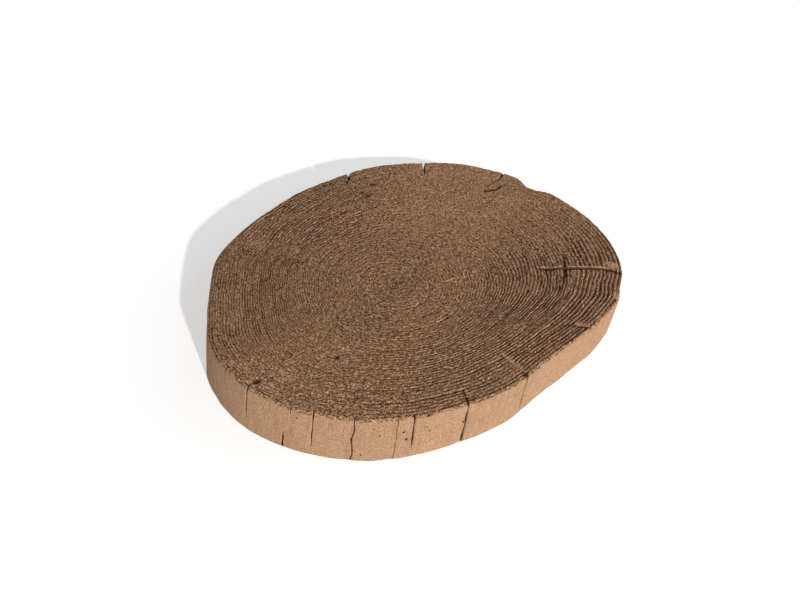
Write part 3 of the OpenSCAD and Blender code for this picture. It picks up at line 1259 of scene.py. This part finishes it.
        # On the top the grit paints highlights and shade of the sand grains and strokes; on the
        # wall it is sand speckle.
        grit = bench.add("Mix", {0: edge, 2: self.wall_grit, 3: self.top_grain_light_and_shade})
        fleck = bench.add("Math", (edge, self.top_strokes), operation="MULTIPLY")
        fleck = bench.add("Mix", {0: fleck, 2: sand, 3: stroke})
        fleck = bench.add("Math", (fleck, 0.5), operation="SUBTRACT")
        grit = bench.add("Math", (fleck, grit), operation="MULTIPLY")
        parts = []
        for share in self.grit_shares:
            part = bench.add("Math", (grit, share, 1.0), operation="MULTIPLY_ADD")
            parts.append(bench.add("Math", (shade, part), operation="MULTIPLY"))
        return bench.add("CombineColor", tuple(parts))

    def material(
        self, pores: tuple[tuple[Triple, float], ...], close_pace: float
    ) -> bpy.types.Material:
        """Build the material: the wall's and the top's own finish, blended at the rim.

        Args:
            pores: Place and radius of each large pore in the wall, in millimetres.
            close_pace: How many close rings there are to each ring of the rest.

        Returns:
            The material.
        """
        material = bpy.data.materials.new("cast_concrete")
        bench = NodeBench(material)
        place = bench.add("TexCoord", out="Object")
        fields = {
            name: bench.add("Attribute", out="Fac", attribute_name=name)
            for name in ("crown", "hollow", "ring", "close", "ridge", "grain", "pock", "crack")
        }
        mottle = self.mottle.plain(bench, place)
        edge = bench.add("Math", (mottle, self.rim_wobble, -0.5 * self.rim_wobble),
                         operation="MULTIPLY_ADD")
        edge = bench.add("Math", (fields["crown"], edge), operation="ADD")
        edge = bench.add("MapRange", (edge, *self.rim_span), interpolation_type="SMOOTHSTEP")
        sand = self.sand.crisp(bench, place)
        stroke = self._strokes(bench, place, fields["ring"])
        top, rough_face = self._top(bench, place, fields, stroke, sand, close_pace)

        upright = bench.add("Mapping", {"Vector": place, "Scale": (1.0, 1.0, self.streak_rise)})
        streak = self.streak.plain(bench, upright)
        pale = bench.add("MapRange", (streak, *self.streak_span), interpolation_type="SMOOTHSTEP")
        wall = {0: pale, 6: self.wall_tint.linear(), 7: self.wall_pale_tint.linear()}
        wall = bench.add("Mix", wall, out=2, data_type="RGBA")
        colour = bench.add("Mix", {0: edge, 6: wall, 7: top}, out=2, data_type="RGBA")
        tone = self._tone(bench, place, mottle, edge, sand, stroke)
        colour = bench.add("Mix", {0: 1.0, 6: colour, 7: tone}, out=2, data_type="RGBA",
                           blend_type="MULTIPLY")
        # Painted shade in the pores and cracks: their colour turns dark, standing for the shade
        # inside them.
        hole = self._pores(bench, place, pores, edge)
        crack = (fields["crack"], *self.crack_span)
        crack = bench.add("MapRange", crack, interpolation_type="SMOOTHSTEP")
        crack = bench.add("Math", (crack, self.crack_shade_cover), operation="MULTIPLY")
        void_shade = bench.add("Math", (hole, self.pore_shade_cover), operation="MULTIPLY")
        void_shade = bench.add("Math", (void_shade, crack), operation="MAXIMUM")
        colour = bench.add("Mix", {0: void_shade, 6: colour, 7: self.void_shade_tint.linear()}, out=2,
                           data_type="RGBA")

        smooth_face = bench.add("Math", (streak, self.wall_bump), operation="MULTIPLY")
        for part, bump in ((sand, self.wall_bump), (hole, -self.pore_bump)):
            smooth_face = bench.add("Math", (part, bump, smooth_face), operation="MULTIPLY_ADD")
        height = bench.add("Mix", {0: edge, 2: smooth_face, 3: rough_face})
        normal = bench.add("Bump", {"Height": height, "Distance": 1.0 * MM, "Strength": 1.0})
        shader = bench.add(
            "BsdfPrincipled",
            {"Base Color": colour, "Roughness": self.roughness, "IOR": self.ior,
             "Specular IOR Level": self.specular, "Normal": normal},
        )
        bench.add("OutputMaterial", (shader,))
        return material


def make_mesh(name: str, points: Array, faces: list[Array]) -> bpy.types.Object:
    """Put whole arrays into a new mesh object at the origin.

    Args:
        name: Name of the object and its mesh.
        points: Places in millimetres, one row each.
        faces: Arrays of corner numbers, one array for each count of corners.

    Returns:
        The linked object, shaded smooth.
    """
    mesh = bpy.data.meshes.new(name)
    corners = np.concatenate([part.ravel() for part in faces])
    counts = np.concatenate([np.full(len(part), part.shape[1]) for part in faces])
    starts = np.concatenate([[0], np.cumsum(counts)[:-1]])
    mesh.vertices.add(len(points))
    mesh.vertices.foreach_set("co", (points * MM).ravel())
    mesh.loops.add(len(corners))
    mesh.loops.foreach_set("vertex_index", corners)
    mesh.polygons.add(len(counts))
    mesh.polygons.foreach_set("loop_start", starts)
    mesh.update(calc_edges=True)
    mesh.validate()
    mesh.shade_smooth()
    piece = bpy.data.objects.new(name, mesh)
    bpy.context.scene.collection.objects.link(piece)
    return piece


def add_field(piece: bpy.types.Object, name: str, values: Array) -> None:
    """Store one number for each point as a named attribute of the mesh."""
    layer = piece.data.attributes.new(name, "FLOAT", "POINT")
    layer.data.foreach_set("value", values.astype(np.float32))


def band(outer: Array, inner: Array) -> Array:
    """Four-cornered faces between two closed rows of equal length, facing up."""
    after_outer, after_inner = np.roll(outer, -1), np.roll(inner, -1)
    return np.stack([outer, after_outer, after_inner, inner], axis=-1)


def halving_band(outer: Array, inner: Array) -> Array:
    """Triangles between a closed row and one with every second of its columns.

    Args:
        outer: Point numbers of the full row.
        inner: Point numbers of the half row, inside it.

    Returns:
        Three triangles for each point of the inner row, facing up.
    """
    first, middle, last = outer[0::2], outer[1::2], np.roll(outer[0::2], -1)
    after = np.roll(inner, -1)
    corners = ((first, middle, inner), (middle, after, inner), (middle, last, after))
    return np.concatenate([np.stack(three, axis=-1) for three in corners])


def fan(row: Array, centre: int) -> Array:
    """Triangles between a closed row and one centre point."""
    return np.stack([row, np.roll(row, -1), np.full_like(row, centre)], axis=-1)


@dataclass
class SteppingStone:
    """The whole stone: top relief, wall and underside as one closed surface."""

    node: bpy.types.Object
    columns: int = 820
    rows_per_ring: int = 3
    outline_steps: int = 7201
    crack_spread: float = 2.2
    crack_crowding: float = 3.6
    crowded: tuple[Triple, ...] = (
        (49.0, 3.5, 2.4),
        (325.0, 14.0, 1.2),
        (82.5, 4.0, 1.2),
        (23.0, 3.0, 1.5),
        (292.0, 3.0, 1.5),
    )
    set_back: float = 0.3
    rim_ragged: PlaneNoise = PlaneNoise(81, 9.0, 0.35, 2)
    rim_fade: Point = (0.05, 0.75)
    dent_start: Point = (0.1, 0.8)
    foot_height: float = 0.5
    underside_inset: float = 14.0
    # Relief depths that give no and full painted shade in the hollow field.
    shade_span: Point = (-0.3, 2.1)
    top_paling: float = 0.25
    rim_paling: float = 0.4
    wall_crack_depth: float = 3.6
    pores: tuple[Triple, ...] = (
        (190.3, 22.8, 0.5),
        (206.6, 33.5, 0.6),
        (218.8, 7.2, 0.6),
        (220.7, 32.8, 0.5),
        (222.1, 25.8, 0.6),
        (222.5, 35.5, 0.5),
        (226.6, 27.5, 0.9),
        (227.4, 19.8, 1.1),
        (231.3, 29.2, 0.5),
        (232.1, 24.2, 0.6),
        (240.3, 22.2, 0.9),
        (255.7, 27.5, 0.7),
        (270.8, 20.2, 0.7),
        (296.9, 23.8, 0.6),
        (299.3, 30.8, 0.6),
    )
    fields: dict[str, Array] = field(default_factory=dict)

    def __post_init__(self) -> None:
        """Read the sizes off the solid."""
        low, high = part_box(self.node.name)
        self.thickness = (high.z - low.z) / MM
        self.foot_line = FootLine.from_solid(self.node)
        self.section = EdgeSection(self.thickness).rows()
        even = np.linspace(0.0, FULL_TURN, len(self.foot_line.reaches), endpoint=False)
        runs = self._rim(self.foot_line, even) - np.array(LogFace.pith)
        self.face = LogFace(float(np.linalg.norm(runs, axis=1).mean()))
        self.wall = CastWall()

    def _rim(self, line: FootLine, bearing: Array) -> Array:
        """End of the top face at each bearing, set in from an outline."""
        return line.point(bearing) - self.section[0, 1] * line.outward(bearing)

    def _lay_columns(self) -> None:
        """Space the columns along the outline, crowded where cracks need them.

        The crowding is one plus a bell at each crack. The columns stand where its running
        total along the outline passes equal steps.
        """
        fine = np.linspace(0.0, FULL_TURN, self.outline_steps)
        line = self.foot_line.point(fine)
        arc = np.concatenate([[0.0], np.cumsum(np.linalg.norm(np.diff(line, axis=0), axis=1))])
        self.girth = arc[-1]
        crowd = np.ones_like(arc)
        self.crack_arcs = np.interp(np.radians([c.bearing for c in self.wall.cracks]), fine, arc)
        bells = [(place, self.crack_spread, self.crack_crowding) for place in self.crack_arcs]
        bells += [(np.interp(np.radians(bearing), fine, arc), spread, crowding)
                  for bearing, spread, crowding in self.crowded]
        for place, spread, crowding in bells:
            offset = (arc - place + 0.5 * self.girth) % self.girth - 0.5 * self.girth
            crowd += crowding * np.exp(-((offset / spread) ** 2))
        total = np.concatenate([[0.0], np.cumsum(0.5 * (crowd[1:] + crowd[:-1]) * np.diff(arc))])
        steps = np.arange(self.columns) / self.columns * total[-1]
        self.column_arcs = np.interp(steps, total, arc)
        self.column_bearings = np.interp(steps, total, fine)

    def _top_rows(self) -> list[tuple[float, Array]]:
        """Lay out the rows of the top face, from the rim inwards.

        Every ring has the same number of rows. The inner half has every second column, and
        the inner quarter every fourth.

        Returns:
            Ring share and column numbers of each row.
        """
        every = np.arange(self.columns)
        count = self.face.rings * self.rows_per_ring
        strides = [1 if row >= count // 2 else 2 if row >= count // 4 else 4
                   for row in range(count, 0, -1)]
        return [(row / count, every[::stride])
                for row, stride in zip(range(count, 0, -1), strides)]

    def _shown(self, relief: dict[str, Array], keep: Array | float, paling: float,
               wall_crack: Array | float) -> dict[str, Array]:
        """Fields that the finish reads: those of the relief, faded where it fades.

        Args:
            relief: Depth and fields of the relief.
            keep: Share of the relief that is kept.
            paling: How much a smooth patch pales; along the cracks the paling is a painted
                highlight.
            wall_crack: Depth of the wall's cracks.

        Returns:
            Values of each field, by name.
        """
        low, high = self.shade_span
        crack = np.clip(wall_crack / self.wall_crack_depth, 0.0, 1.0)
        return {
            "crown": keep * (1.0 - paling * relief["smooth"]),
            # Depth share of the relief, which the finish turns into painted shade.
            "hollow": np.clip((relief["depth"] - low) / (high - low), 0.0, 1.0) * keep,
            "ring": relief["ring"],
            "close": relief["close"],
            "ridge": relief["ridge"] * keep,
            "grain": relief["grain"] * keep,
            "pock": relief["pock"] * keep,
            "crack": np.maximum(relief["crack"] * keep, crack),
        }

    def _top(self, rim: Array) -> tuple[Array, dict[str, Array], list[Array]]:
        """Work out the top face: a polar grid about the pith whose rows are rings.

        A point is its place on the ring, lowered by the relief. The last point is the pith.

        Args:
            rim: End of the top face at each column.

        Returns:
            Points in millimetres, fields, and point numbers of each row from the rim inwards.
        """
        plain_rim = self._rim(self.foot_line.without_bays(), self.column_bearings)
        top_rows = self._top_rows()
        shares = np.concatenate([np.full(len(columns), share) for share, columns in top_rows])
        picks = np.concatenate([columns for _, columns in top_rows])
        ends = np.cumsum([len(columns) for _, columns in top_rows])
        places = self.face.ring_point(shares, rim[picks], plain_rim[picks])
        stray = self.face.waver(places, shares)
        places = self.face.ring_point(shares - stray, rim[picks], plain_rim[picks])
        x, y = np.concatenate([places, [self.face.pith]]).T
        relief = self.face.hollow(x, y, np.append(shares, 0.0))
        points = np.stack([x, y, self.thickness - relief["depth"]], axis=-1)
        rows = np.split(np.arange(ends[-1]), ends[:-1])
        return points, self._shown(relief, 1.0, self.top_paling, 0.0), rows

    def _edge(self, rim: Array) -> tuple[Array, dict[str, Array]]:
        """Work out the edge: a grid of the section's rows by the columns.

        A point is the outline point, set in by the section's inset and moved against the
        section's direction by dents and cracks. The relief of the top fades over the rim.

        Args:
            rim: End of the top face at each column.

        Returns:
            Points in millimetres, and fields.
        """
        height, inset, out_share, up_share = self.section[1:].T
        grid = (len(height), self.columns)
        outline = self.foot_line.point(self.column_bearings)
        outward = self.foot_line.outward(self.column_bearings)
        base = outline[np.newaxis] - inset[:, np.newaxis, np.newaxis] * outward[np.newaxis]
        x, y = base.reshape(-1, 2).T
        sides = np.broadcast_to(outward[np.newaxis], grid + (2,)).reshape(-1, 2)
        arc = np.broadcast_to(self.column_arcs, grid).ravel()
        level, outs, ups = (
            np.repeat(part, self.columns) for part in (height, out_share, up_share)
        )
        pith = self.face.pith
        rim_reach = np.broadcast_to(np.hypot(*(rim - np.array(pith)).T), grid).ravel()
        relief = self.face.hollow(x, y, np.hypot(x - pith[0], y - pith[1]) / rim_reach)
        down = 1.0 - ups
        keep = 1.0 - smooth_step(*self.rim_fade, down + self.rim_ragged.over(x, y))
        below = (self.thickness - level) / self.thickness
        crack = self.wall.cut(arc, self.crack_arcs, self.girth, below)
        dents = self.wall.dents(arc, self.girth, level) * smooth_step(*self.dent_start, down)
        cut = crack + dents + self.set_back
        foot = level < self.foot_height
        sink = np.where(foot, 0.0, cut * outs)
        drop = np.where(foot, 0.0, relief["depth"] * keep * ups)
        points = np.stack([x - sides[:, 0] * sink, y - sides[:, 1] * sink, level - drop], axis=-1)
        return points, self._shown(relief, keep, self.rim_paling, crack)

    def _surface(self) -> tuple[Array, list[Array]]:
        """Join top, edge and underside into one closed surface, and keep its fields.

        The underside is a ring set in from the outline and a fan to the middle.

        Returns:
            Points in millimetres, and faces by their count of corners.
        """
        rim = self._rim(self.foot_line, self.column_bearings)
        top, top_fields, rows = self._top(rim)
        edge, edge_fields = self._edge(rim)
        inner = self.foot_line.point(self.column_bearings)
        inner = inner - self.underside_inset * self.foot_line.outward(self.column_bearings)
        under = np.concatenate([inner, np.zeros((self.columns, 1))], axis=1)
        points = np.concatenate([top, edge, under, np.zeros((1, 3))])
        for notch in self.face.notches:
            limit = notch.floor_at(points[:, 0], points[:, 1], self.thickness)
            points[:, 2] = np.minimum(points[:, 2], limit)

        below = np.arange(len(top), len(points) - 1).reshape(-1, self.columns)
        quads, triangles = [], []
        for outer, inside in zip(rows[:-1], rows[1:]):
            if len(outer) == len(inside):
                quads.append(band(outer, inside))
            else:
                triangles.append(halving_band(outer, inside))
        triangles.append(fan(rows[-1], len(top) - 1))
        chain = [rows[0], *below]
        quads += [band(lower, upper) for upper, lower in zip(chain[:-1], chain[1:])]
        triangles.append(fan(below[-1], len(points) - 1)[:, [1, 0, 2]])
        blank = np.zeros(self.columns + 1)
        self.fields = {
            name: np.concatenate([values, edge_fields[name], blank])
            for name, values in top_fields.items()
        }
        return points, [np.concatenate(quads), np.concatenate(triangles)]

    def _pore_places(self) -> tuple[tuple[Triple, float], ...]:
        """Find the places of the larger pores on the wall.

        Returns:
            Place and radius of each pore, from its bearing and height.
        """
        places = []
        for bearing, height, radius in self.pores:
            angle = np.radians([bearing])
            inset = np.interp(height, self.section[::-1, 0], self.section[::-1, 1])
            inset += self.set_back
            x, y = (self.foot_line.point(angle) - inset * self.foot_line.outward(angle))[0]
            places.append(((float(x), float(y), height), radius))
        return tuple(places)

    def build(self) -> bpy.types.Object:
        """Make the stone's mesh and dress it.

        Returns:
            The stone's object.
        """
        self._lay_columns()
        points, faces = self._surface()
        piece = make_mesh("cast_stone", points, faces)
        for name, values in self.fields.items():
            add_field(piece, name, values)
        finish = CastConcrete().material(self._pore_places(), self.face.close_pace)
        piece.data.materials.append(finish)
        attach(piece, "root")
        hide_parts(SLAB_NODE)
        triangles = sum(len(part) * (part.shape[1] - 2) for part in faces)
        log.info("%s: %d points, %d triangles", piece.name, len(points), triangles)
        return piece


def background_rays(bench: NodeBench) -> Socket:
    """Tell the rays that show the background, straight or by way of a shine or glass.

    Args:
        bench: Bench of the floor's material or the surround.

    Returns:
        1 for those rays and 0 for the rest.
    """
    shown = bench.add("LightPath", out="Is Camera Ray")
    rays = shown
    for name in ("Is Glossy Ray", "Is Transmission Ray"):
        rays = bench.add("Math", (rays, shown.node.outputs[name]), operation="MAXIMUM")
    return rays


@dataclass(frozen=True)
class StudioFloor:
    """Pale floor that reads white where it is lit and keeps the stone's shadow."""

    half_size: float = 6000.0
    depth: float = 0.2
    albedo: float = 0.90
    glow: float = 0.46

    def build(self) -> bpy.types.Object:
        """Make the floor just under the stone.

        Returns:
            The floor's object.
        """
        side = self.half_size
        corners = np.array([[x * side, y * side, -self.depth]
                            for x, y in ((-1, -1), (1, -1), (1, 1), (-1, 1))])
        floor = make_mesh("studio_floor", corners, [np.array([[0, 1, 2, 3]])])
        material = bpy.data.materials.new("pale_floor")
        bench = NodeBench(material)
        matt = bench.add("BsdfDiffuse", {"Color": (self.albedo, self.albedo, self.albedo, 1.0)})
        glow = bench.add("Math", (background_rays(bench), self.glow), operation="MULTIPLY")
        lift = bench.add("Emission", {"Strength": glow})
        both = bench.add("AddShader", (matt, lift))
        bench.add("OutputMaterial", (both,))
        floor.data.materials.append(material)
        log.info("%s: the stone lies on it", floor.name)
        return floor


@dataclass(frozen=True)
class SoftLamp:
    """Far soft lamp, by the bearing and height it shines from."""

    name: str
    bearing: float
    height: float
    strength: float
    softness: float
    distance: float = 2.0

    def build(self) -> bpy.types.Object:
        """Make the lamp, turned so that it shines at the middle of the stone.

        Returns:
            The lamp's object.
        """
        lamp = bpy.data.lights.new(self.name, "SUN")
        lamp.energy = self.strength * np.pi
        lamp.angle = np.radians(self.softness)
        piece = bpy.data.objects.new(self.name, lamp)
        bearing, height = np.radians(self.bearing), np.radians(self.height)
        source = Vector((np.cos(bearing) * np.cos(height), np.sin(bearing) * np.cos(height),
                         np.sin(height)))
        piece.rotation_mode = "QUATERNION"
        piece.rotation_quaternion = source.to_track_quat("Z", "Y")
        piece.location = source * self.distance
        bpy.context.scene.collection.objects.link(piece)
        return piece


@dataclass(frozen=True)
class Studio:
    """Light, backdrop and camera around the stone."""

    ambient: float = 0.32
    camera_place: Triple = (-0.3154, -0.2962, 0.3438)
    camera_aim: Triple = (-0.0257, -0.0065, 0.0)
    camera_roll: float = 9.94
    lens: float = 25.68
    film_width: float = 36.0
    nearest: float = 0.01
    lamps: tuple[SoftLamp, ...] = (
        SoftLamp("key_lamp", -98.0, 22.5, 0.80, 1.8),
        SoftLamp("fill_lamp", -35.0, 35.0, 0.10, 50.0),
    )

    def light(self) -> None:
        """Set the lamps and an even white surround that the camera sees as white."""
        for lamp in self.lamps:
            lamp.build()
        world = bpy.data.worlds.new("studio_surround")
        bpy.context.scene.world = world
        bench = NodeBench(world)
        level = {"Value": background_rays(bench), "To Min": self.ambient, "To Max": 1.0}
        level = bench.add("MapRange", level)
        bench.add("OutputWorld", (bench.add("Background", {"Strength": level}),))

    def camera(self) -> bpy.types.Object:
        """Set the camera: it looks at the aim, then turns about its own line of sight.

        Returns:
            The camera's object.
        """
        data = bpy.data.cameras.new("photo_camera")
        data.sensor_fit = "HORIZONTAL"
        data.sensor_width = self.film_width
        data.lens = self.lens
        data.clip_start = self.nearest
        piece = bpy.data.objects.new("photo_camera", data)
        forward = (Vector(self.camera_aim) - Vector(self.camera_place)).normalized()
        level = forward.cross(Vector((0.0, 0.0, 1.0))).normalized()
        up = level.cross(forward)
        roll = np.radians(self.camera_roll)
        side = level * np.cos(roll) + up * np.sin(roll)
        over = up * np.cos(roll) - level * np.sin(roll)
        frame = Matrix((side, over, -forward)).transposed().to_4x4()
        frame.translation = Vector(self.camera_place)
        piece.matrix_world = frame
        bpy.context.scene.collection.objects.link(piece)
        bpy.context.scene.camera = piece
        return piece


def main() -> None:
    """Build the stone, its floor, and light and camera."""
    logging.basicConfig(level=logging.INFO, format="%(name)s: %(message)s")
    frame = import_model()
    bpy.context.scene.view_settings.view_transform = "Standard"
    SteppingStone(frame["nodes"][SLAB_NODE]).build()
    StudioFloor().build()
    studio = Studio()
    studio.light()
    studio.camera()
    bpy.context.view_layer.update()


if __name__ == "__main__":
    main()
